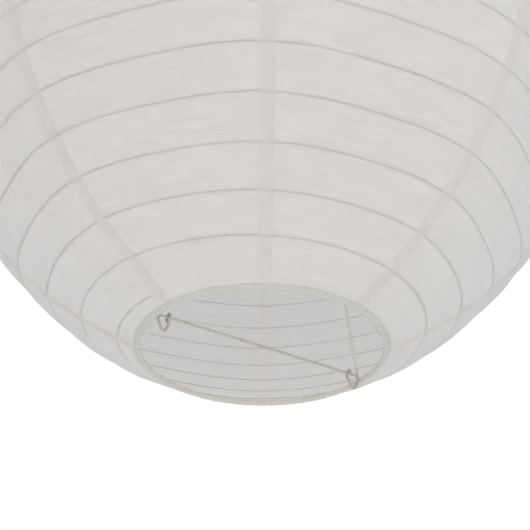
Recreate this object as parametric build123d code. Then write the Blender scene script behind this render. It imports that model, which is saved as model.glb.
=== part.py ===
from build123d import *
import math
import os

# Hanging paper lantern: a folding shade on a sprung wire expander.
# Units are millimetres, +Z is up. The origin is where a ceiling hook bears on the hanging loop.
# The expander lies in the XZ plane: both bars run along X.

# ---- driving dimensions: shade ----
SHADE_RADIUS = 200.0        # paper's outer face at the widest point
PROFILE_POWER = 1.89        # 2 is a sphere; less draws the shoulders in towards a cone
MOUTH_RADIUS = 73.4         # outer edge of the hem at both mouths
PAPER = 0.3                 # paper gore, with its glue
GORE_COUNT = 8
SEAM_AZIMUTH = 12.6         # degrees from +X to the first seam
SEAM_GAP = 0.3              # clear space between neighbouring gores at the widest point

# ---- driving dimensions: rings and hems ----
RING_WIRE = 2.0             # diameter of the ring wire
HEM_SLOPE = 20.0            # degrees, the paper's slope where it enters the hem
HEM_REACH = 3.3             # from the ring's centre to the hem's free edge
HEM_SKIN = 0.45             # thickness of the folded paper strip
HEM_GAP = 0.15              # clear space between the ring wire and the strip
GORE_END = 1.4              # from the ring's centre to the gore's end, inside the hem

# ---- driving dimensions: spiral rib ----
RIB_WIRE = 0.9
RIB_TURNS = 18.5
RIB_LEAD = 0.287            # climb from each hem to the nearest end of the rib, in turns
RIB_START = -173.0          # degrees, azimuth of the rib's lower end
RIB_CLEARANCE = 0.15        # glue line between the rib and the paper
RIB_ARCS_PER_TURN = 12

# ---- driving dimensions: expander ----
FRAME_WIRE = 1.6
LOOP_RADIUS = 12.0          # hanging loop, centre line
LOOP_RISE = 38.0            # from the upper hem up to the bearing point of the loop
TIP_DROP = 3.6              # top bar's resting ends, below the upper ring's centre
TIP_RADIUS = 72.0
STEP_RADIUS = 60.0          # where the top bar starts to rise
BAR_LEVEL = 14.0            # half length of the level stretch at the loop's foot
BAR_BEND = 6.0
BAR_PASS = 0.2              # clear space between the bar's two halves where they cross
CROSSBAR_LIFT = 0.9         # lower crossbar's centre line, above the lower hem's outer edge
CROSSBAR_HALF = 66.2
HOOK_OUTER = 67.6           # outer branch of each V hook, from the axis
HOOK_FOOT = 63.9            # lowest point of the V, from the axis
HOOK_INNER = 61.0           # inner branch, at the crossbar
HOOK_DROP = 8.0             # centre line's lowest point, below the lower hem's outer edge
HOOK_BEND = 1.8             # bend radius at the foot of the V
KNEE_DROP = 1.6             # where the leg turns into the V, below the lower hem's outer edge
KNEE_RADIUS = 5.0
JOG_DROP = 4.3              # start of the jog beside the crossbar, below the crossbar
JOG_END = 1.1               # straight stretch at the end of the jog
JOG_BEND = 1.6
BAR_EYE_RADIUS = 2.2        # hook's end, curled round the crossbar
BAR_EYE_DROP = 0.3          # the curl's centre hangs this much under the crossbar's
BAR_EYE_TURN = 235.0        # degrees
LEG_EYE_OUT = 10.5          # each leg's eye on the top bar, from the axis
LEG_EYE_RADIUS = 2.5
LEG_EYE_TURN = 290.0

# ---- derived ----
HALF_HEIGHT = SHADE_RADIUS * (1 - (MOUTH_RADIUS / SHADE_RADIUS) ** PROFILE_POWER) ** (1 / PROFILE_POWER)
UPPER_HEM_Z = -LOOP_RISE
EQUATOR_Z = UPPER_HEM_Z - HALF_HEIGHT
LOWER_HEM_Z = EQUATOR_Z - HALF_HEIGHT
HEM_DIRECTION = (math.cos(math.radians(HEM_SLOPE)), math.sin(math.radians(HEM_SLOPE)))
RING_RADIUS = MOUTH_RADIUS - HEM_REACH * HEM_DIRECTION[0]
RING_HEIGHT = HALF_HEIGHT + HEM_REACH * HEM_DIRECTION[1]    # from the equator to each ring's centre
CROSSBAR_Z = LOWER_HEM_Z + CROSSBAR_LIFT
LOOP_Z = FRAME_WIRE / 2 - LOOP_RADIUS
BAR_Z = LOOP_Z - LOOP_RADIUS                                # crossing of the top bar's two halves
BAR_OFFSET = (FRAME_WIRE + BAR_PASS) / 2                    # each half of the top bar beside the XZ plane


def profile_point(angle):
    """Point of the paper's outer face as (radius, height above the equator)."""
    power = 2 / PROFILE_POWER
    height = math.copysign(abs(math.sin(angle)) ** power, angle)
    return SHADE_RADIUS * math.cos(angle) ** power, SHADE_RADIUS * height


def inward(angle, depth):
    """Point at a depth under the paper's outer face, as (radius, height above the equator)."""
    small = 1e-4
    r0, z0 = profile_point(angle - small)
    r1, z1 = profile_point(angle + small)
    length = math.hypot(r1 - r0, z1 - z0)
    radius, height = profile_point(angle)
    return radius - depth * (z1 - z0) / length, height + depth * (r1 - r0) / length


MOUTH_ANGLE = math.asin((HALF_HEIGHT / SHADE_RADIUS) ** (PROFILE_POWER / 2))


def meridian_angles(count):
    """Profile angles from the lower hem to the upper one, evenly spaced."""
    return [MOUTH_ANGLE * (2 * i / (count - 1) - 1) for i in range(count)]


def sweep_wire(path, diameter):
    """Round wire along a path."""
    section = Plane(origin=path @ 0, z_dir=path % 0) * Circle(diameter / 2)
    return sweep(section, path=path, transition=Transition.RIGHT)


def arc_points(centre, across, along, radius, start, turn):
    """Start, middle and end of an arc in the plane of two unit vectors."""
    points = []
    for share in (0, 0.5, 1):
        angle = math.radians(start + turn * share)
        points.append(centre + across * (radius * math.cos(angle)) + along * (radius * math.sin(angle)))
    return points


# ---- shade ----
def hem(top):
    """Paper strip folded round a ring and over both faces of the gores' ends."""
    inner = RING_WIRE / 2 + HEM_GAP
    outer = inner + HEM_SKIN
    reach = Location((HEM_REACH / 2, 0))
    folded = Circle(outer) + reach * Rectangle(HEM_REACH, 2 * outer)
    hollow = Circle(inner) + reach * Rectangle(HEM_REACH, 2 * inner)
    return revolve(Plane.XZ * place_section(folded - hollow, top), Axis.Z)


def place_section(shape, top):
    """Moves a section drawn about the ring's centre to the lower or the upper mouth."""
    side = 1 if top else -1
    where = Location((RING_RADIUS, EQUATOR_Z + side * RING_HEIGHT)) * Rotation(0, 0, -side * HEM_SLOPE)
    return where * shape


def ring(top):
    """Wire ring inside a hem."""
    return revolve(Plane.XZ * place_section(Circle(RING_WIRE / 2), top), Axis.Z)


def gore_section():
    """Meridian section of the paper, with both ends turned into the hems."""
    angles = meridian_angles(15)
    outside = [inward(angle, 0) for angle in angles]
    inside = [inward(angle, PAPER) for angle in angles]
    edges = []
    for points, face in ((outside, PAPER / 2), (inside, -PAPER / 2)):
        curve = [(r, EQUATOR_Z + z) for r, z in points]
        edges.append(Spline(curve))
        for side, end in ((-1, curve[0]), (1, curve[-1])):
            edges.append(Line(end, gore_end(side, face)))
    for side in (-1, 1):
        edges.append(Line(gore_end(side, PAPER / 2), gore_end(side, -PAPER / 2)))
    return make_face(edges)


def gore_end(side, face):
    """Corner of the gore's end inside the hem; face is the offset towards the outside."""
    along, out = HEM_DIRECTION
    radius = RING_RADIUS + GORE_END * along + face * out
    height = RING_HEIGHT - GORE_END * out + face * along
    return radius, EQUATOR_Z + side * height


def gore(index):
    """One of the paper strips that run from mouth to mouth."""
    gap = math.degrees(SEAM_GAP / SHADE_RADIUS)
    width = 360 / GORE_COUNT
    start = SEAM_AZIMUTH + index * width + gap / 2
    body = revolve(Plane.XZ * gore_section(), Axis.Z, revolution_arc=width - gap)
    return Rotation(0, 0, start) * body


def rib_angle(turns):
    """Profile angle of the rib after a number of turns from its lower end."""
    total = RIB_TURNS + 2 * RIB_LEAD
    return arc_to_angle((turns + RIB_LEAD) / total)


def arc_table(count=400):
    """Arc length along the profile at evenly spaced angles, as a share of the whole."""
    angles = meridian_angles(count)
    lengths = [0.0]
    for before, after in zip(angles, angles[1:]):
        lengths.append(lengths[-1] + math.dist(profile_point(before), profile_point(after)))
    return angles, [length / lengths[-1] for length in lengths]


ANGLES, SHARES = arc_table()


def arc_to_angle(share):
    """Profile angle at a share of the arc from the lower hem to the upper one."""
    for i in range(1, len(SHARES)):
        if share <= SHARES[i]:
            part = (share - SHARES[i - 1]) / (SHARES[i] - SHARES[i - 1])
            return ANGLES[i - 1] + part * (ANGLES[i] - ANGLES[i - 1])
    return ANGLES[-1]


def rib_point(turns):
    """Point on the rib's centre line; the rib climbs clockwise seen from above."""
    radius, height = inward(rib_angle(turns), PAPER + RIB_CLEARANCE + RIB_WIRE / 2)
    azimuth = math.radians(RIB_START - 360 * turns)
    return Vector(radius * math.cos(azimuth), radius * math.sin(azimuth), EQUATOR_Z + height)


def rib():
    """Spiral wire that carries the paper from the lower ring to the upper one."""
    count = round(RIB_TURNS * RIB_ARCS_PER_TURN)
    step = RIB_TURNS / count
    start = rib_point(0)
    heading = rib_point(step / 100) - start
    arcs = []
    for i in range(1, count + 1):
        end = rib_point(i * step)
        arcs.append(TangentArc(start, end, tangent=heading))
        start = end
        heading = arcs[-1] % 1
    return sweep_wire(Wire(arcs), RIB_WIRE)


# ---- expander ----
def square_to(direction, near):
    """Unit vector square to a direction, as close as it can be to a given one."""
    return (near - direction * near.dot(direction)).normalized()


def tangent_run(start, start_side, start_radius, end, end_side, end_radius):
    """Straight run that leaves one eye and enters another along their rims.

    Returns its unit direction and the unit vectors from the eyes' centres to its two ends.
    """
    first, last = start_side, end_side
    for _ in range(6):
        direction = ((end + last * end_radius) - (start + first * start_radius)).normalized()
        first = square_to(direction, start_side)
        last = square_to(direction, end_side)
    return direction, first, last


def crossbar():
    """Straight wire across the lower mouth."""
    bar = Plane.YZ * Circle(FRAME_WIRE / 2)
    return Location((-CROSSBAR_HALF, 0, CROSSBAR_Z)) * extrude(bar, 2 * CROSSBAR_HALF)


def hook_vertex():
    """Corner of the V before its foot is rounded, as a distance under the lower hem's outer edge."""
    depth = HOOK_DROP
    for _ in range(20):
        outer = math.atan2(HOOK_OUTER - HOOK_FOOT, depth - KNEE_DROP)
        inner = math.atan2(HOOK_FOOT - HOOK_INNER, depth + CROSSBAR_LIFT - JOG_DROP)
        depth = HOOK_DROP + HOOK_BEND * (1 / math.sin((outer + inner) / 2) - 1)
    return depth


def leg():
    """Leg on the +X side: an eye on the top bar, a long lean, a V hook and a curl round the crossbar."""
    side = Vector(0, 1, 0)
    eye_centre = Vector(LEG_EYE_OUT, BAR_OFFSET, BAR_Z)
    knee = Vector(HOOK_OUTER, 0, LOWER_HEM_Z - KNEE_DROP)
    down, rim, _ = tangent_run(eye_centre, side, LEG_EYE_RADIUS, knee, side, 0)
    eye = ThreePointArc(*arc_points(eye_centre, rim, down * -1, LEG_EYE_RADIUS, LEG_EYE_TURN, -LEG_EYE_TURN))
    curl_z = CROSSBAR_Z - BAR_EYE_DROP
    lean = FilletPolyline(
        eye_centre + rim * LEG_EYE_RADIUS,
        knee,
        (HOOK_FOOT, 0, LOWER_HEM_Z - hook_vertex()),
        (HOOK_INNER, 0, CROSSBAR_Z - JOG_DROP),
        (HOOK_INNER, BAR_EYE_RADIUS, curl_z - JOG_END),
        (HOOK_INNER, BAR_EYE_RADIUS, curl_z),
        radius=[KNEE_RADIUS, HOOK_BEND, JOG_BEND, JOG_BEND],
    )
    curl_centre = Vector(HOOK_INNER, 0, curl_z)
    curl = ThreePointArc(*arc_points(curl_centre, side, Vector(0, 0, 1), BAR_EYE_RADIUS, 0, BAR_EYE_TURN))
    return sweep_wire(Wire([eye, *lean.edges(), curl]), FRAME_WIRE)


def top_bar():
    """Wire that carries the upper ring on its two ends, with the hanging loop bent in its middle."""
    top = (0, 0, LOOP_Z + LOOP_RADIUS)
    tip_z = EQUATOR_Z + RING_HEIGHT - TIP_DROP
    arms = []
    arcs = []
    for side in (-1, 1):
        foot = (0, side * BAR_OFFSET, BAR_Z)
        arms.append(FilletPolyline(
            (side * TIP_RADIUS, side * BAR_OFFSET, tip_z),
            (side * STEP_RADIUS, side * BAR_OFFSET, tip_z),
            (side * BAR_LEVEL, side * BAR_OFFSET, BAR_Z),
            foot,
            radius=BAR_BEND,
        ))
        flank = (-side * LOOP_RADIUS, side * BAR_OFFSET / 2, LOOP_Z)
        arcs.append(ThreePointArc(foot, flank, top))
    return sweep_wire(Wire([*arms[0].edges(), *arcs, *arms[1].edges()]), FRAME_WIRE)


def build():
    """Every node by name."""
    right_leg = leg()
    nodes = {
        "bottom_crossbar": crossbar(),
        "right_leg": right_leg,
        "left_leg": Rotation(0, 0, 180) * right_leg,
        "top_bar": top_bar(),
        "top_ring": ring(True),
        "top_hem": hem(True),
        "bottom_ring": ring(False),
        "bottom_hem": hem(False),
        "spiral_rib": rib(),
    }
    for index in range(GORE_COUNT):
        nodes[f"paper_gore_{index + 1}"] = gore(index)
    return nodes


os.makedirs("parts", exist_ok=True)
for name, shape in build().items():
    export_step(shape, f"parts/{name}.step")
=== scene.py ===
import math

import bpy
import numpy as np
from mathutils import Matrix, Vector, noise


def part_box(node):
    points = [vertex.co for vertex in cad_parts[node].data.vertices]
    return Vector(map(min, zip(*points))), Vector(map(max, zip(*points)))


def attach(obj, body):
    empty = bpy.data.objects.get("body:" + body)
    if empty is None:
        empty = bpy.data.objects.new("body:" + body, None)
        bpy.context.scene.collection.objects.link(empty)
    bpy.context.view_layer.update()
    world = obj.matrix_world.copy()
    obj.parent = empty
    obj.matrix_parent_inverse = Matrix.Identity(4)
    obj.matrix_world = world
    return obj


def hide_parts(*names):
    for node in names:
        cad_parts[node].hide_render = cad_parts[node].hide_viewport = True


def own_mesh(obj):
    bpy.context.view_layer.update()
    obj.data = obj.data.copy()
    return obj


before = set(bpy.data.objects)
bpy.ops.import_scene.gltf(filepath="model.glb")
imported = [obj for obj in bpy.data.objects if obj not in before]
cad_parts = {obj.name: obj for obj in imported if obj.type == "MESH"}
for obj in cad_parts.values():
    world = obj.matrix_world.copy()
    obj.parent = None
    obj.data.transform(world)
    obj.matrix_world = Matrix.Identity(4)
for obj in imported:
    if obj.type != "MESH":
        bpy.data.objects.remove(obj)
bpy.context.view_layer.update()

# A round paper lantern: eight paper gores glued over a spiral rib, a rolled hem round the wire
# ring at each mouth, and a sprung wire expander. Everything is in metres, in the CAD frame.

MM = 0.001
HALF_TURN = math.pi
FULL_TURN = 2 * math.pi

# ---- shade: the same driving dimensions as the CAD model ----
SHADE_RADIUS = 200 * MM       # paper's outer face at the widest point
PROFILE_POWER = 1.89          # 2 is a sphere; less draws the shoulders in towards a cone
GORE_COUNT = 8
GORE_ANGLE = FULL_TURN / GORE_COUNT
SEAM_AZIMUTH = math.radians(12.6)
RING_WIRE = 2.0 * MM          # diameter
HEM_SLOPE = math.radians(20)  # of the paper's ends in the hems, from the mouth's plane
CAD_HEM_REACH = 3.3 * MM      # from the ring's centre to the end of the paper's curved profile
RIB_WIRE = 0.9 * MM           # diameter
RIB_TURNS = 18.5
RIB_LEAD = 0.287              # climb from each hem to the nearest end of the rib, in turns
RIB_START = math.radians(-173)
RIB_DEPTH = 0.9 * MM          # rib's centre line, under the paper's nominal outer face
TURNS_IN_ALL = RIB_TURNS + 2 * RIB_LEAD

# ---- paper ----
PAPER = 0.09 * MM             # thickness of one sheet
RIB_TOUCH = 0.02 * MM         # clear space between the paper and the rib
GORE_END = 1.4 * MM           # from the ring's centre to the gore's end, inside the hem
LAP = 8 * MM                  # each gore overlaps the next by this width
LAP_LIFT = 0.12 * MM          # the upper sheet stands this far out over the lower one
LAP_EASE = 3 * MM             # width of the step beside a lap
GLUE_FADE = (1.4 * MM, 0.2 * MM)      # the lap's colours fade from inside its edge to outside it
RIDGE = 0.0095                # seams stand out by this share of the radius
RIDGE_FADE = 110 * MM         # the ridges die out over this length of paper before each mouth
SAG = 0.75 * MM               # the paper sinks this much between two ribs
SAG_FADE = (0.9, 0.2)         # it starts and ends this many turns before and after the rib's ends
EMBOSS = 0.13 * MM            # the paper stands proud over the rib by this much
EMBOSS_WIDTH = 0.8 * MM
EMBOSS_FADE = (0.02, 0.02)    # the same for the embossing
MOUTH_FADE = 9 * MM           # the relief dies out over this length of paper before each hem

# ---- creases: height, and size of the noise round the shade and along the meridian ----
LONG_CREASE, LONG_CREASE_SIZE = 0.17 * MM, (26 * MM, 4.6 * MM)
CROSS_CREASE, CROSS_CREASE_SIZE = 0.119 * MM, (9 * MM, 13 * MM)
BUCKLE, BUCKLE_SIZE = 0.20 * MM, (30 * MM, 16 * MM)
PUCKER, PUCKER_SIZE = 0.26 * MM, (5 * MM, 14 * MM)
BUCKLE_SEED, PUCKER_SEED = 3.7, 11.3
PUCKER_REACH = 5 * MM         # the short tucks beside each pass of the rib end about here
PUCKER_START = 1.2 * MM       # and start here
LOWEST_CREASING = 0.45        # creases near the mouths, as a share of those at the widest point
CREASING_RISE = (0.25, 0.5)   # they grow over this share of the meridian, from either mouth
CREASE_SHARPNESS = 3.2        # more makes a crease narrower

# ---- hem ----
HEM_REACH = 2.5 * MM          # from the ring's centre to the hem's free edge
HEM_SKIN = 0.28 * MM          # thickness of the glued strip
HEM_ROLL = 1.55 * MM          # outer radius of the roll round the ring
HEM_TIP = 0.38 * MM           # half thickness of the hem at its free edge
HEM_TUCK = 0.10 * MM          # height of its small tucks
HEM_TUCK_SIZE = (3.2 * MM, 3 * MM)    # of the noise round the ring and across the hem
HEM_TUCK_SEED = 5.1

# ---- how finely the pieces are meshed ----
GORE_COLUMNS = 64
ROWS_PER_TURN = 20            # rows of a gore between two passes of the rib
GRID_ROUNDS = 4               # a vertex's share and azimuth depend on each other, and settle in these
RIB_STEPS = 180               # in each turn
WIRE_SIDES = 8
DOME_TILTS = (math.radians(31.5), math.radians(63))   # rings of a wire's rounded end
HEM_STEPS = 480
HEM_STRAIGHT = (0, 0.33, 0.67)        # points from the free edge to where the roll starts, as shares
HEM_ARC_STEPS = 14
HEM_MAP_STEP = HEM_REACH / 8  # about the way from one point of the hem's section to the next
CUT_ANGLE = math.radians(50)  # edges sharper than this are cut edges of a sheet


# ---- shape of the shade ----
def ring_height(name):
    return sum(corner.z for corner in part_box(name)) / 2


def ring_radius(name):
    lowest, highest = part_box(name)
    return (highest.x - lowest.x) / 2 - RING_WIRE / 2


TOP_RING_Z = ring_height("top_ring")
BOTTOM_RING_Z = ring_height("bottom_ring")
RING_RADIUS = ring_radius("bottom_ring")
EQUATOR_Z = (TOP_RING_Z + BOTTOM_RING_Z) / 2
HALF_HEIGHT = (TOP_RING_Z - BOTTOM_RING_Z) / 2 - CAD_HEM_REACH * math.sin(HEM_SLOPE)
LOWER_MOUTH_Z = EQUATOR_Z - HALF_HEIGHT
MOUTH_ANGLE = math.asin((HALF_HEIGHT / SHADE_RADIUS) ** (PROFILE_POWER / 2))


def smooth(low, high, value):
    """0 below low, 1 above high, and a smooth step between them."""
    share = np.clip((value - low) / (high - low), 0, 1)
    return share * share * (3 - 2 * share)


class Profile:
    """Meridian of the paper's nominal outer face, by share of its length from the lower mouth up.

    Shares below 0 and above 1 are the straight ends that reach into the hems.
    """

    def __init__(self, count=4001):
        angles = np.linspace(-MOUTH_ANGLE, MOUTH_ANGLE, count)
        power = 2 / PROFILE_POWER
        self.radii = SHADE_RADIUS * np.cos(angles) ** power
        self.heights = SHADE_RADIUS * np.sign(angles) * np.abs(np.sin(angles)) ** power
        steps = np.hypot(np.diff(self.radii), np.diff(self.heights))
        lengths = np.concatenate([[0.0], np.cumsum(steps)])
        self.length = float(lengths[-1])
        self.shares = lengths / self.length
        self.slope_r = np.gradient(self.radii, lengths)
        self.slope_z = np.gradient(self.heights, lengths)
        self.add_straight_ends(CAD_HEM_REACH - GORE_END)

    def add_straight_ends(self, reach):
        """Lead the paper on at the hems' slope, as far as it reaches into them."""
        inward, upward = math.cos(HEM_SLOPE), math.sin(HEM_SLOPE)
        end_radius = self.radii[0] - reach * inward
        end_height = self.heights[-1] + reach * upward
        self.tuck_in = reach / self.length
        self.shares = self.extend(self.shares, -self.tuck_in, 1 + self.tuck_in)
        self.radii = self.extend(self.radii, end_radius, end_radius)
        self.heights = self.extend(self.heights, -end_height, end_height)
        self.slope_r = self.extend(self.slope_r, inward, -inward)
        self.slope_z = self.extend(self.slope_z, upward, upward)

    @staticmethod
    def extend(values, before, after):
        return np.concatenate([[before], values, [after]])

    def radius(self, share):
        return np.interp(share, self.shares, self.radii)

    def place(self, share, azimuth, depth):
        """Points at a depth under the nominal face, with the seams' ridges."""
        out_r = np.interp(share, self.shares, self.slope_z)
        out_z = -np.interp(share, self.shares, self.slope_r)
        radius = (self.radius(share) - depth * out_r) * (1 + self.ridge(share, azimuth))
        height = EQUATOR_Z + np.interp(share, self.shares, self.heights) - depth * out_z
        return np.stack([radius * np.cos(azimuth), radius * np.sin(azimuth), height], axis=-1)

    def ridge(self, share, azimuth):
        """How far the shade stands out at a seam, or in between two seams, as a share of the radius."""
        to_mouth = np.minimum(share, 1 - share) * self.length
        fade = smooth(0, RIDGE_FADE, to_mouth)
        return RIDGE * fade * np.cos(GORE_COUNT * (azimuth - SEAM_AZIMUTH))


PROFILE = Profile()
RIB_PITCH = PROFILE.length / TURNS_IN_ALL


def turns_at(share):
    """Number of rib turns below a share of the meridian."""
    return share * TURNS_IN_ALL - RIB_LEAD


def share_at(turns):
    return (turns + RIB_LEAD) / TURNS_IN_ALL


def rib_phase(azimuth):
    """Turns after which the rib first passes an azimuth; seen from above, it climbs clockwise."""
    return (RIB_START - azimuth) / FULL_TURN


# ---- paper relief ----
def soft(point, size, seed):
    """Soft swell of a stretched noise, from about -1 to 1.

    The first two coordinates of the point are stretched to the first size, the third to the second.
    """
    around, along = size
    where = Vector((point[0] / around, point[1] / around, point[2] / along + seed))
    return noise.noise(where)


def crease(point, size):
    """Sharp ridges where the same noise passes zero, 1 at their crests."""
    return 1 - CREASE_SHARPNESS * abs(soft(point, size, 0))


def along_rib(turns, fade):
    """1 between the rib's two ends and 0 beyond them; fade is how far it reaches out and in."""
    reach_out, reach_in = fade
    begun = smooth(-reach_out, reach_in, turns)
    ended = smooth(RIB_TURNS - reach_in, RIB_TURNS + reach_out, turns)
    return begun * (1 - ended)


def taut_depth(turns, between, from_rib):
    """Depth of the paper without creases: it sinks between the ribs and stands proud over them."""
    on_rib = RIB_DEPTH - RIB_WIRE / 2 - RIB_TOUCH - PAPER
    sunk = SAG * along_rib(turns, SAG_FADE) * between
    proud = EMBOSS * along_rib(turns, EMBOSS_FADE) * np.exp(-(from_rib / EMBOSS_WIDTH) ** 2)
    return on_rib + sunk - proud


def creased_depth(places, between, from_rib):
    """Depth that the creases, dents and tucks add at each place.

    The cross creases swap x and y, so that they don't follow the long ones.
    """
    free = np.sqrt(np.clip(between, 0, 1))
    held = np.exp(-(from_rib / PUCKER_REACH) ** 2) * (1 - np.exp(-(from_rib / PUCKER_START) ** 2))
    depth = np.empty(len(places))
    for i, place in enumerate(places):
        creases = (LONG_CREASE * crease(place, LONG_CREASE_SIZE)
                   + CROSS_CREASE * crease(place[[1, 0, 2]], CROSS_CREASE_SIZE))
        dent = BUCKLE * soft(place, BUCKLE_SIZE, BUCKLE_SEED)
        tuck = PUCKER * soft(place, PUCKER_SIZE, PUCKER_SEED)
        depth[i] = free[i] * (dent - creases) + held[i] * tuck
    return depth


def relief(share, azimuth, places):
    """Depth of the paper's outer face under the nominal one at each vertex.

    places holds x and y on the round shade, and the length along the meridian.
    """
    turns = turns_at(share)
    past = np.mod(turns - rib_phase(azimuth), 1)
    between = 4 * past * (1 - past)
    from_rib = np.minimum(past, 1 - past) * RIB_PITCH
    from_mouth = np.minimum(share, 1 - share)
    creasing = LOWEST_CREASING + (1 - LOWEST_CREASING) * smooth(*CREASING_RISE, from_mouth)
    depth = taut_depth(turns, between, from_rib) + creasing * creased_depth(places, between, from_rib)
    open_paper = smooth(0, MOUTH_FADE, from_mouth * PROFILE.length)
    in_hem = -PAPER / 2     # the sheet's middle lies on the nominal face
    return in_hem + (depth - in_hem) * open_paper


# ---- mesh building ----
def grid_faces(rows, columns, first=0, closed=False, flip=False):
    """Quads of a grid whose vertices run along each row; closed joins the last column to the first."""
    faces = []
    for i in range(rows - 1):
        for j in range(columns if closed else columns - 1):
            k = (j + 1) % columns
            quad = [first + i * columns + j, first + i * columns + k,
                    first + (i + 1) * columns + k, first + (i + 1) * columns + j]
            faces.append(quad[::-1] if flip else quad)
    return faces


def rim_faces(rows, columns, first_outer, first_inner):
    """Quads that close the edge between two grids of the same size."""
    border = list(range(columns))
    border += [i * columns + columns - 1 for i in range(1, rows)]
    border += [(rows - 1) * columns + j for j in range(columns - 2, -1, -1)]
    border += [i * columns for i in range(rows - 2, 0, -1)]
    faces = []
    for a, b in zip(border, border[1:] + border[:1]):
        faces.append([first_outer + b, first_outer + a, first_inner + a, first_inner + b])
    return faces


def make_object(name, points, faces, material, cut_edges=False):
    """Smooth mesh object; cut_edges keeps the edges of a thin sheet sharp."""
    mesh = bpy.data.meshes.new(name)
    mesh.from_pydata([tuple(p) for p in points], [], faces)
    mesh.polygons.foreach_set("use_smooth", [True] * len(mesh.polygons))
    if cut_edges:
        mesh.set_sharp_from_angle(angle=CUT_ANGLE)
    mesh.materials.append(material)
    mesh.update()
    obj = bpy.data.objects.new(name, mesh)
    bpy.context.scene.collection.objects.link(obj)
    return obj


def add_paper_map(obj, across, along):
    """UV map named paper, in metres on the flat sheet."""
    layer = obj.data.uv_layers.new(name="paper")
    corners = np.empty(len(obj.data.loops), dtype=np.int32)
    obj.data.loops.foreach_get("vertex_index", corners)
    flat = np.stack([across[corners], along[corners]], axis=-1)
    layer.data.foreach_set("uv", flat.ravel().astype(np.float32))


def add_value(obj, name, values):
    attribute = obj.data.attributes.new(name, "FLOAT", "POINT")
    attribute.data.foreach_set("value", np.asarray(values, dtype=np.float32))


# ---- gores ----
def gore_rows(middle):
    """Shares of a gore's rows at its middle, crowded towards each pass of the rib."""
    first = rib_phase(middle) % 1
    reach = 0.5 / GORE_COUNT + 0.01     # half a gore's width and a little more, in turns
    passes = [first + n for n in range(-1, int(RIB_TURNS) + 2)]
    knots = [share_at(t) for t in passes if -reach < t < RIB_TURNS + reach]
    shares = []
    for low, high in zip([0.0] + knots, knots + [1.0]):
        for k in range(ROWS_PER_TURN):
            shares.append(low + (high - low) * (1 - math.cos(HALF_TURN * k / ROWS_PER_TURN)) / 2)
    tucked = PROFILE.tuck_in * np.array([1.0, 0.5])
    shares = np.concatenate([-tucked, shares, [1.0], 1 + tucked[::-1]])
    return shares, knots[0], knots[-1]


def gore_grid(middle):
    """Share, azimuth and place across the sheet of each vertex, as grids of rows and columns.

    The rows follow the rib, which climbs across the gore, but stay level at the two mouths.
    """
    rows, lowest, highest = gore_rows(middle)
    side = np.linspace(-1, 1, GORE_COLUMNS + 1)
    base = np.repeat(rows[:, None], side.size, axis=1)
    follows = np.minimum(smooth(0, lowest, base), 1 - smooth(highest, 1, base))
    share = base.copy()
    for _ in range(GRID_ROUNDS):
        radius = PROFILE.radius(share)
        azimuth = middle + side[None, :] * (GORE_ANGLE / 2 + LAP / 2 / radius)
        share = base + follows * (middle - azimuth) / FULL_TURN / TURNS_IN_ALL
    return share, azimuth, (azimuth - middle) * radius


def lap_lift(azimuth, radius, low_seam):
    """Lift of the sheet where it lies over its neighbour, beside its first seam."""
    past_seam = (azimuth - low_seam) * radius
    return LAP_LIFT * (1 - smooth(LAP / 2, LAP / 2 + LAP_EASE, past_seam))


def add_sides_and_laps(gore, azimuth, radius, low_seam):
    """Attributes that tell the sheet's inner side, its glued strips and the innermost one of these,
    whose inner face gets painted light.
    """
    nothing, everything = np.zeros(len(azimuth)), np.ones(len(azimuth))
    past_low_seam = (azimuth - low_seam) * radius
    short_of_high_seam = (low_seam + GORE_ANGLE - azimuth) * radius
    fade_in, fade_out = GLUE_FADE
    from_seam = np.minimum(past_low_seam, short_of_high_seam)
    lapped = 1 - smooth(LAP / 2 - fade_in, LAP / 2 + fade_out, from_seam)
    # Painted light: the inner face of the innermost glued strip is marked for a whiter colour.
    innermost = lapped * (azimuth > low_seam + GORE_ANGLE / 2)
    add_value(gore, "lapped", np.tile(lapped, 2))
    add_value(gore, "painted_light_lap", np.concatenate([nothing, innermost]))
    add_value(gore, "inner", np.concatenate([nothing, everything]))


def make_gore(index, material):
    low_seam = SEAM_AZIMUTH + index * GORE_ANGLE
    share, azimuth, across = gore_grid(low_seam + GORE_ANGLE / 2)
    rows, columns = share.shape
    share, azimuth, across = share.ravel(), azimuth.ravel(), across.ravel()
    radius = PROFILE.radius(share)
    along = share * PROFILE.length
    places = np.stack([radius * np.cos(azimuth), radius * np.sin(azimuth), along], axis=-1)
    depth = relief(share, azimuth, places) - lap_lift(azimuth, radius, low_seam)
    outer = PROFILE.place(share, azimuth, depth)
    inner = PROFILE.place(share, azimuth, depth + PAPER)
    faces = grid_faces(rows, columns)
    faces += grid_faces(rows, columns, first=len(outer), flip=True)
    faces += rim_faces(rows, columns, 0, len(outer))
    name = f"gore_sheet_{index + 1}"
    gore = make_object(name, np.concatenate([outer, inner]), faces, material, cut_edges=True)
    own_paper = np.tile(along, 2) + index     # a metre apart, so that no two gores look the same
    add_paper_map(gore, np.tile(across, 2), own_paper)
    add_sides_and_laps(gore, azimuth, radius, low_seam)
    return gore


# ---- rib ----
def wire_directions(path):
    """Unit vectors along the wire, and level and upright across it, at each point of its path."""
    forward = np.gradient(path, axis=0)
    forward /= np.linalg.norm(forward, axis=1)[:, None]
    level = np.cross(forward, np.array([0.0, 0.0, 1.0]))
    level /= np.linalg.norm(level, axis=1)[:, None]
    return forward, level, np.cross(level, forward)


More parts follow.
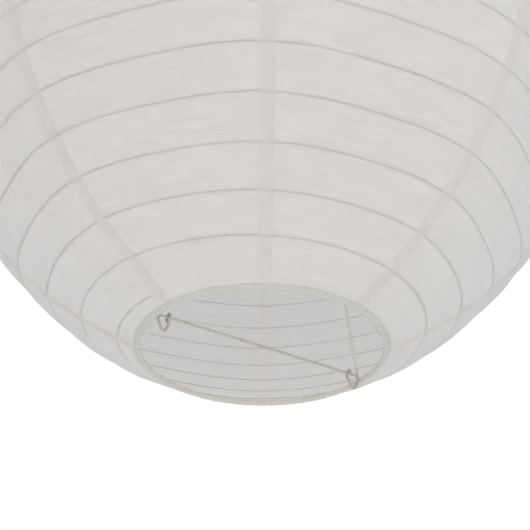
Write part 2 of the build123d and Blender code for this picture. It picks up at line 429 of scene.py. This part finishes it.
def make_wire(name, path, radius, outward, material):
    """Round wire along a path of points, with rounded ends.

    outward holds a unit vector for each point of the path; an attribute says how far a
    vertex lies on that side of the wire, for the painted shade on the side against the paper.
    """
    forward, level, upright = wire_directions(path)
    angles = np.linspace(0, FULL_TURN, WIRE_SIDES, endpoint=False)[None, :, None]
    spokes = np.cos(angles) * level[:, None, :] + np.sin(angles) * upright[:, None, :]
    rings = list(path[:, None, :] + radius * spokes)
    for end, way in ((0, -1), (-1, 1)):
        dome = []
        for tilt in DOME_TILTS:
            centre = path[end] + way * forward[end] * radius * math.sin(tilt)
            dome.append(centre + radius * math.cos(tilt) * spokes[end])
        rings = dome[::-1] + rings if end == 0 else rings + dome
    faces = grid_faces(len(rings), WIRE_SIDES, closed=True)
    last = (len(rings) - 1) * WIRE_SIDES
    faces.append(list(range(WIRE_SIDES))[::-1])
    faces.append([last + j for j in range(WIRE_SIDES)])
    wire = make_object(name, np.concatenate(rings), faces, material)
    # Painted shade: the side of the rib against the paper is painted dark, for the shadow line it casts
    # through the paper.
    painted_shade_side = np.einsum("ijk,ik->ij", spokes, outward)
    domes = len(DOME_TILTS)
    add_value(wire, "painted_shade_side", np.pad(painted_shade_side, ((domes, domes), (0, 0)), mode="edge").ravel())
    return wire


def make_rib(material):
    turns = np.linspace(0, RIB_TURNS, int(RIB_TURNS * RIB_STEPS) + 1)
    azimuth = RIB_START - FULL_TURN * turns
    shares = share_at(turns)
    path = PROFILE.place(shares, azimuth, np.full_like(turns, RIB_DEPTH))
    outward = PROFILE.place(shares, azimuth, np.full_like(turns, RIB_DEPTH - MM)) - path
    outward /= np.linalg.norm(outward, axis=1)[:, None]
    return make_wire("rib_wire_coil", path, RIB_WIRE / 2, outward, material)


# ---- hems ----
def hem_side(roll, tip):
    """One face of the hem's section, from its free edge round the ring and back.

    x runs from the ring's centre to the free edge, and y across the hem.
    """
    far = math.hypot(HEM_REACH, tip)
    touch = math.acos(roll / far) + math.atan2(tip, HEM_REACH)
    touch_x, touch_y = roll * math.cos(touch), roll * math.sin(touch)
    there = []
    for share in HEM_STRAIGHT:
        there.append((HEM_REACH + (touch_x - HEM_REACH) * share, tip + (touch_y - tip) * share))
    round_ring = []
    for k in range(HEM_ARC_STEPS + 1):
        angle = touch + (FULL_TURN - 2 * touch) * k / HEM_ARC_STEPS
        round_ring.append((roll * math.cos(angle), roll * math.sin(angle)))
    back = [(x, -y) for x, y in reversed(there)]
    return there + round_ring + back


def hem_points(outside, inside, upper):
    """Vertices of a hem, with one section after another round the ring; outside has small tucks."""
    side = 1 if upper else -1
    centre_z = TOP_RING_Z if upper else BOTTOM_RING_Z
    section = outside + inside
    inward, upward = math.cos(HEM_SLOPE), math.sin(HEM_SLOPE)
    points = []
    for azimuth in np.arange(HEM_STEPS) * FULL_TURN / HEM_STEPS:
        around_x, around_y = math.cos(azimuth), math.sin(azimuth)
        for k, (x, y) in enumerate(section):
            place = (around_x * RING_RADIUS, around_y * RING_RADIUS, x + centre_z / 3)
            tuck = HEM_TUCK / HEM_ROLL * soft(place, HEM_TUCK_SIZE, HEM_TUCK_SEED)
            swell = 1 + tuck if k < len(outside) else 1
            radius = RING_RADIUS + x * inward + y * swell * upward
            height = centre_z + side * (y * swell * inward - x * upward)
            points.append((radius * around_x, radius * around_y, height))
    return points


def hem_faces(columns, upper):
    """Quads between the closed sections, each joined to the next and the last to the first."""
    faces = []
    for i in range(HEM_STEPS):
        after = (i + 1) % HEM_STEPS
        for j in range(columns):
            k = (j + 1) % columns
            quad = [i * columns + j, after * columns + j, after * columns + k, i * columns + k]
            faces.append(quad if upper else quad[::-1])
    return faces


def make_hem(name, upper, material):
    outside = hem_side(HEM_ROLL, HEM_TIP)
    inside = hem_side(HEM_ROLL - HEM_SKIN, HEM_TIP - HEM_SKIN)[::-1]
    columns = len(outside) + len(inside)
    points = hem_points(outside, inside, upper)
    hem = make_object(name, points, hem_faces(columns, upper), material, cut_edges=True)
    around = np.repeat(np.arange(HEM_STEPS) * FULL_TURN / HEM_STEPS * RING_RADIUS, columns)
    across = np.tile(np.arange(columns) * HEM_MAP_STEP, HEM_STEPS)
    add_paper_map(hem, across, around)
    return hem


# ---- materials ----
MIXED_RANGE = (0.35, 0.65)                       # where most values of mixed noises lie
NOISE_RANGE = (0.3, 0.7)                         # and those of a single noise
FULL_RANGE = (0.0, 1.0)

# Painted light: the inner side is painted a little bluer and whiter, for cooler light inside the shade.
INNER_FACE_COOL_LIGHT = (0.965, 0.978, 0.99, 1)             # the inner side is a little bluer and whiter
# Painted shade: the paper is painted darker along its creases, on its face and in the light that comes
# through, and more so on the inner side.
PAINTED_CREASE_SHADE = (0.84, 0.85, 0.855, 1)
PAINTED_CREASE_SHADE_GLOW = (0.90, 0.89, 0.88, 1)
CREASE_SHADE_RANGE = (0.38, 0.62)
CREASE_SHADE_SHARE = (0.3, 0.55)                      # of the outer and of the inner side
GLUED_FACE = (0.976, 0.968, 0.963, 1)
# Painted light: the whitest colour, on the inner face of the innermost glued strip.
PAINTED_LIGHT_LAP_FACE = (0.995, 0.985, 0.968, 1)
GLUED_GLOW = (0.984, 0.974, 0.966, 1)
GLUED_SHARE = 0.85

# The wire below this height, in the hooks, is painted darker as painted shade.
HOOKS_Z = LOWER_MOUTH_Z + 3 * MM                 # the hooks' wire bends below this height
HOOKS_FADE = 4 * MM


class Nodes:
    """Short words for building a material's nodes."""

    def __init__(self, name):
        self.material = bpy.data.materials.new(name)
        self.material.use_nodes = True
        self.tree = self.material.node_tree
        self.tree.nodes.clear()

    def add(self, kind, **settings):
        node = self.tree.nodes.new(kind)
        for key, value in settings.items():
            setattr(node, key, value)
        return node

    def link(self, source, target):
        if isinstance(source, bpy.types.NodeSocket):
            self.tree.links.new(source, target)
        else:
            target.default_value = source

    def maths(self, operation, first, second):
        node = self.add("ShaderNodeMath", operation=operation)
        self.link(first, node.inputs[0])
        self.link(second, node.inputs[1])
        return node.outputs[0]

    def stretched(self, vector, scale):
        node = self.add("ShaderNodeMapping")
        self.link(vector, node.inputs["Vector"])
        node.inputs["Scale"].default_value = scale
        return node.outputs["Vector"]

    def noise(self, vector, scale, detail=2.0, roughness=0.5, distortion=0.0):
        node = self.add("ShaderNodeTexNoise")
        self.link(vector, node.inputs["Vector"])
        node.inputs["Scale"].default_value = scale
        node.inputs["Detail"].default_value = detail
        node.inputs["Roughness"].default_value = roughness
        node.inputs["Distortion"].default_value = distortion
        return node.outputs["Fac"]

    def spread(self, value, source, target):
        """Map one range of values to another, and hold what lies outside at its ends."""
        node = self.add("ShaderNodeMapRange")
        self.link(value, node.inputs["Value"])
        for name, setting in zip(("From Min", "From Max", "To Min", "To Max"), (*source, *target)):
            node.inputs[name].default_value = setting
        return node.outputs["Result"]

    def blend(self, share, first, second):
        node = self.add("ShaderNodeMix", data_type="RGBA")
        self.link(share, node.inputs["Factor"])
        colours = [socket for socket in node.inputs if socket.type == "RGBA"]
        self.link(first, colours[0])
        self.link(second, colours[1])
        return [socket for socket in node.outputs if socket.type == "RGBA"][0]

    def bump(self, height, strength, distance, normal=None):
        node = self.add("ShaderNodeBump")
        self.link(height, node.inputs["Height"])
        node.inputs["Strength"].default_value = strength
        node.inputs["Distance"].default_value = distance
        if normal is not None:
            self.link(normal, node.inputs["Normal"])
        return node.outputs["Normal"]

    def attribute(self, name):
        return self.add("ShaderNodeAttribute", attribute_name=name).outputs["Fac"]

    def finish(self, shader):
        output = self.add("ShaderNodeOutputMaterial")
        self.link(shader, output.inputs["Surface"])
        return self.material


def paper_bump(n, fibres, threads, flecks, grain):
    """Fibres and threads in relief, with finer flecks and grain on them."""
    height = n.maths("ADD", n.maths("MULTIPLY", fibres, 0.5), threads)
    normal = n.bump(height, 0.8, 0.22 * MM)
    normal = n.bump(flecks, 0.5, 0.12 * MM, normal)
    return n.bump(grain, 0.25, 0.03 * MM, normal)


def paper_material(name, through, pale, dull, glow):
    """Thin fibrous paper.

    through is the share of light that the surface lets in; pale and dull are its colours, and glow
    is the colour of the light that comes through. Where two sheets are glued, the glue clears them.
    The inner face of the innermost sheet of such a strip is painted whitest and lets less light
    through, as painted light.
    """
    n = Nodes(name)
    sheet = n.add("ShaderNodeUVMap", uv_map="paper").outputs["UV"]
    fibres = n.noise(n.stretched(sheet, (90, 900, 1)), 1.0, 4.0, 0.6, 0.4)
    threads = n.noise(n.stretched(sheet, (42, 320, 1)), 1.0, 3.0, 0.62, 1.4)
    clouds = n.noise(sheet, 26.0, 3.0, 0.6)
    flecks = n.noise(n.stretched(sheet, (260, 420, 1)), 1.0, 3.0, 0.65, 0.8)
    grain = n.noise(sheet, 1500.0, 2.0, 0.5)
    tone = n.maths("ADD", n.maths("MULTIPLY", clouds, 0.25), n.maths("MULTIPLY", fibres, 0.4))
    tone = n.maths("ADD", tone, n.maths("MULTIPLY", flecks, 0.35))

    inner = n.attribute("inner")
    painted_light_lap = n.attribute("painted_light_lap")
    lapped = n.maths("MULTIPLY", n.attribute("lapped"), GLUED_SHARE)
    # Painted shade in the creases, where the thread noise runs high.
    crease_shade = n.maths("MULTIPLY", n.spread(threads, CREASE_SHADE_RANGE, FULL_RANGE),
                      n.spread(inner, FULL_RANGE, CREASE_SHADE_SHARE))

    face = n.blend(n.spread(tone, MIXED_RANGE, FULL_RANGE), dull, pale)
    # Painted light: the inner side's bluer, whiter colour.
    face = n.blend(inner, face, INNER_FACE_COOL_LIGHT)
    face = n.blend(crease_shade, face, PAINTED_CREASE_SHADE)
    face = n.blend(lapped, face, GLUED_FACE)
    # Painted light: the inner face of the innermost glued strip is painted whitest.
    face = n.blend(painted_light_lap, face, PAINTED_LIGHT_LAP_FACE)
    inside = n.blend(lapped, n.blend(crease_shade, glow, PAINTED_CREASE_SHADE_GLOW), GLUED_GLOW)

    wrinkled = n.maths("MULTIPLY", n.spread(threads, NOISE_RANGE, (-0.07, 0.07)),
                       n.spread(inner, FULL_RANGE, (0.8, 1.5)))
    share = n.maths("ADD", n.spread(tone, MIXED_RANGE, (through + 0.035, through - 0.035)), wrinkled)
    share = n.maths("ADD", share, n.maths("MULTIPLY", lapped, 0.10))
    # Painted light: that strip lets less light through and reflects more.
    share = n.maths("SUBTRACT", share, n.maths("MULTIPLY", painted_light_lap, 0.46))
    normal = paper_bump(n, fibres, threads, flecks, grain)

    front = n.add("ShaderNodeBsdfPrincipled")
    n.link(face, front.inputs["Base Color"])
    n.link(n.spread(threads, NOISE_RANGE, (0.38, 0.58)), front.inputs["Roughness"])
    n.link(normal, front.inputs["Normal"])
    front.inputs["Sheen Weight"].default_value = 0.08
    front.inputs["Specular IOR Level"].default_value = 0.45
    back = n.add("ShaderNodeBsdfTranslucent")
    n.link(inside, back.inputs["Color"])
    n.link(normal, back.inputs["Normal"])
    both = n.add("ShaderNodeMixShader")
    n.link(share, both.inputs["Fac"])
    n.link(front.outputs[0], both.inputs[1])
    n.link(back.outputs[0], both.inputs[2])
    return n.finish(both.outputs[0])


def wire_material(name, bright, dark, roughness, metallic, painted_shade=None, painted_hook_shade=None):
    """Drawn wire with a cloudy coat and small dull spots.

    The two optional colours are painted shade: the first on the side that lies against the paper, for
    the shadow line that a rib casts through it, and the second in the hooks below the mouth, for the
    dim light from below.
    """
    n = Nodes(name)
    where = n.add("ShaderNodeTexCoord").outputs["Object"]
    coat = n.noise(where, 260.0, 3.0, 0.6)
    specks = n.noise(where, 1400.0, 2.0, 0.6)
    tone = n.maths("ADD", n.maths("MULTIPLY", coat, 0.6), n.maths("MULTIPLY", specks, 0.4))
    colour = n.blend(n.spread(tone, MIXED_RANGE, FULL_RANGE), dark, bright)
    # Painted shade: darker on the side that lies against the paper.
    if painted_shade:
        painted_shade_mask = n.maths("ADD", n.attribute("painted_shade_side"), n.spread(coat, NOISE_RANGE, (-0.25, 0.25)))
        colour = n.blend(n.spread(painted_shade_mask, NOISE_RANGE, FULL_RANGE), colour, painted_shade)
    # Painted shade: darker in the hooks, below the mouth.
    if painted_hook_shade:
        split = n.add("ShaderNodeSeparateXYZ")
        n.link(where, split.inputs[0])
        height = n.maths("ADD", split.outputs["Z"], n.spread(coat, NOISE_RANGE, (-3 * MM, 3 * MM)))
        colour = n.blend(n.spread(height, (HOOKS_Z, HOOKS_Z + HOOKS_FADE), (1.0, 0.0)), colour, painted_hook_shade)
    shader = n.add("ShaderNodeBsdfPrincipled")
    n.link(colour, shader.inputs["Base Color"])
    rough = n.spread(coat, NOISE_RANGE, (roughness + 0.1, roughness - 0.08))
    n.link(rough, shader.inputs["Roughness"])
    n.link(n.bump(specks, 0.2, 0.03 * MM), shader.inputs["Normal"])
    shader.inputs["Metallic"].default_value = metallic
    return n.finish(shader.outputs[0])


def floor_material():
    n = Nodes("pale_floor")
    where = n.add("ShaderNodeTexCoord").outputs["Object"]
    colour = n.blend(n.noise(where, 3.0, 3.0), (0.73, 0.72, 0.705, 1), (0.77, 0.76, 0.745, 1))
    shader = n.add("ShaderNodeBsdfPrincipled")
    n.link(colour, shader.inputs["Base Color"])
    shader.inputs["Roughness"].default_value = 0.8
    return n.finish(shader.outputs[0])


# ---- stage ----
ROOM_LIGHT = 0.535                    # from the sides and from below
ROOM_OVERHEAD = 1.45                  # added from straight above
ROOM_FOCUS = 4.0                      # more draws the light from above together
ROOM_COLOUR = (0.96, 0.985, 1.0, 1)
BACKDROP = 1.02                       # brightness of the backdrop that the camera sees
WARM_LIGHT = (1.0, 0.87, 0.76)
COOL_LIGHT = (0.96, 0.98, 1.0)
UP = Vector((0, 0, 1))

VIEW_TURN = math.radians(-33.03)      # from the photo's sideways direction to +X
CAMERA_PITCH = math.radians(31.18)
CAMERA_ROLL = math.radians(0.38)
CAMERA_LENS = 94.16                   # mm, on a sensor 36 mm wide
CAMERA_ASIDE, CAMERA_BEFORE, CAMERA_UNDER = 0.0014, 0.6972, 0.3670    # from the lower mouth's centre

FLOOR_Z = -1.6                        # well below the hanging lantern
FLOOR_HALF_WIDTH = 40.0               # so wide that its edge looks level from the side
FLOOR_CELLS = 12


def make_camera():
    """The camera stands in front of the lantern and below it, looking up into the lower mouth."""
    side = Vector((math.cos(VIEW_TURN), math.sin(VIEW_TURN), 0))
    ahead = Vector((-math.sin(VIEW_TURN), math.cos(VIEW_TURN), 0))
    forward = ahead * math.cos(CAMERA_PITCH) + UP * math.sin(CAMERA_PITCH)
    level_top = UP * math.cos(CAMERA_PITCH) - ahead * math.sin(CAMERA_PITCH)
    right = side * math.cos(CAMERA_ROLL) + level_top * math.sin(CAMERA_ROLL)
    top = level_top * math.cos(CAMERA_ROLL) - side * math.sin(CAMERA_ROLL)
    data = bpy.data.cameras.new("camera")
    data.lens = CAMERA_LENS
    data.sensor_width = 36.0
    camera = bpy.data.objects.new("camera", data)
    camera.matrix_world = Matrix((right, top, -forward)).transposed().to_4x4()
    mouth_centre = Vector((0, 0, LOWER_MOUTH_Z))
    camera.location = mouth_centre + side * CAMERA_ASIDE - ahead * CAMERA_BEFORE - UP * CAMERA_UNDER
    bpy.context.scene.collection.objects.link(camera)
    bpy.context.scene.camera = camera
    return side, ahead


def make_world():
    """White backdrop for the camera; the room lights the lantern from all round, most from above."""
    world = bpy.data.worlds.new("studio")
    world.use_nodes = True
    tree = world.node_tree
    tree.nodes.clear()

    def add(kind, **settings):
        node = tree.nodes.new(kind)
        for key, value in settings.items():
            setattr(node, key, value)
        return node

    height = add("ShaderNodeSeparateXYZ")
    tree.links.new(add("ShaderNodeTexCoord").outputs["Generated"], height.inputs[0])
    overhead = add("ShaderNodeMath", operation="MAXIMUM")
    tree.links.new(height.outputs["Z"], overhead.inputs[0])
    overhead.inputs[1].default_value = 0.0
    focus = add("ShaderNodeMath", operation="POWER")
    tree.links.new(overhead.outputs[0], focus.inputs[0])
    focus.inputs[1].default_value = ROOM_FOCUS
    strength = add("ShaderNodeMath", operation="MULTIPLY_ADD")
    tree.links.new(focus.outputs[0], strength.inputs[0])
    strength.inputs[1].default_value = ROOM_OVERHEAD
    strength.inputs[2].default_value = ROOM_LIGHT
    seen, lit = add("ShaderNodeBackground"), add("ShaderNodeBackground")
    seen.inputs["Color"].default_value = (1, 1, 1, 1)
    seen.inputs["Strength"].default_value = BACKDROP
    lit.inputs["Color"].default_value = ROOM_COLOUR
    tree.links.new(strength.outputs[0], lit.inputs["Strength"])
    mix = add("ShaderNodeMixShader")
    tree.links.new(add("ShaderNodeLightPath").outputs["Is Camera Ray"], mix.inputs["Fac"])
    tree.links.new(lit.outputs[0], mix.inputs[1])
    tree.links.new(seen.outputs[0], mix.inputs[2])
    tree.links.new(mix.outputs[0], add("ShaderNodeOutputWorld").inputs["Surface"])
    bpy.context.scene.world = world


def make_softbox(name, place, target, size, power, colour):
    data = bpy.data.lights.new(name, "AREA")
    data.shape = "DISK"
    data.size = size
    data.energy = power
    data.color = colour
    light = bpy.data.objects.new(name, data)
    light.location = place
    light.rotation_euler = (target - place).to_track_quat("-Z", "Y").to_euler()
    bpy.context.scene.collection.objects.link(light)


def make_lights(side, ahead):
    """Two cool softboxes in front and above, and a warm one in front and below."""
    centre = Vector((0, 0, EQUATOR_Z))
    key = centre - side * 1.6 - ahead * 1.2 + UP * 1.5
    fill = centre + side * 1.8 - ahead * 1.0 + UP * 1.1
    front = centre - ahead * 2.2 - UP * 1.0
    make_softbox("key", key, centre, size=1.6, power=2, colour=COOL_LIGHT)
    make_softbox("fill", fill, centre, size=1.6, power=7, colour=COOL_LIGHT)
    make_softbox("front", front, centre, size=1.8, power=11, colour=WARM_LIGHT)


def make_floor(material):
    ticks = np.linspace(-FLOOR_HALF_WIDTH, FLOOR_HALF_WIDTH, FLOOR_CELLS + 1)
    points = [(x, y, FLOOR_Z) for y in ticks for x in ticks]
    floor = make_object("floor", points, grid_faces(len(ticks), len(ticks)), material)


# ---- assembly ----
def make_shade():
    """The gores and the rib ride on the upper ring's body, and each hem on its own ring's body."""
    paper = paper_material("lantern_paper", through=0.63, pale=(0.958, 0.953, 0.95, 1),
                           dull=(0.895, 0.89, 0.887, 1), glow=(0.972, 0.953, 0.944, 1))
    # The hem's paper is painted darker and yellower than the gores', as painted shade in the rolled
    # hem; it also lets less light through.
    hem_paper = paper_material("hem_paper", through=0.28, pale=(0.88, 0.865, 0.835, 1),
                               dull=(0.80, 0.79, 0.765, 1), glow=(0.86, 0.84, 0.80, 1))
    # The dark colour is painted shade on the rib's side against the paper.
    white_wire = wire_material("white_wire", bright=(0.96, 0.955, 0.94, 1), dark=(0.91, 0.905, 0.89, 1),
                               roughness=0.5, metallic=0.0, painted_shade=(0.19, 0.195, 0.16, 1))

    for index in range(GORE_COUNT):
        gore = make_gore(index, paper)
        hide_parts(f"paper_gore_{index + 1}")
        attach(gore, "shade_top")
        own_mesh(gore)

    rib = make_rib(white_wire)
    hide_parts("spiral_rib")
    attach(rib, "shade_top")
    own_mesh(rib)

    for upper, place, body in ((True, "top", "shade_top"), (False, "bottom", "shade_bottom")):
        hem = make_hem(f"{place}_hem_strip", upper, hem_paper)
        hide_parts(f"{place}_hem")
        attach(hem, body)


def colour_wires():
    """The CAD wires that still show keep their shape and take a wire's material; the bottom crossbar
    takes a darker copy of the zinc wire, as painted shade.
    """
    # Painted shade: the zinc wire is painted darker in the hooks, below the mouth.
    zinc = wire_material("zinc_wire", bright=(0.84, 0.83, 0.77, 1), dark=(0.70, 0.69, 0.64, 1),
                         roughness=0.45, metallic=0.25, painted_hook_shade=(0.52, 0.505, 0.46, 1))
    # Painted shade: a darker copy of the zinc wire for the bottom crossbar, which is lit only dimly
    # from below.
    painted_shade_wire = wire_material("zinc_wire_painted_shade", bright=(0.66, 0.635, 0.60, 1), dark=(0.50, 0.48, 0.455, 1),
                          roughness=0.42, metallic=0.35)
    for name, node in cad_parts.items():
        if not node.hide_render:
            node.data.materials.clear()
            node.data.materials.append(painted_shade_wire if name == "bottom_crossbar" else zinc)


def make_stage():
    side, ahead = make_camera()
    make_world()
    make_lights(side, ahead)
    make_floor(floor_material())
    bpy.context.scene.view_settings.view_transform = "Standard"


def corners(box):
    return [list(corner) for corner in box]


make_shade()
colour_wires()
make_stage()
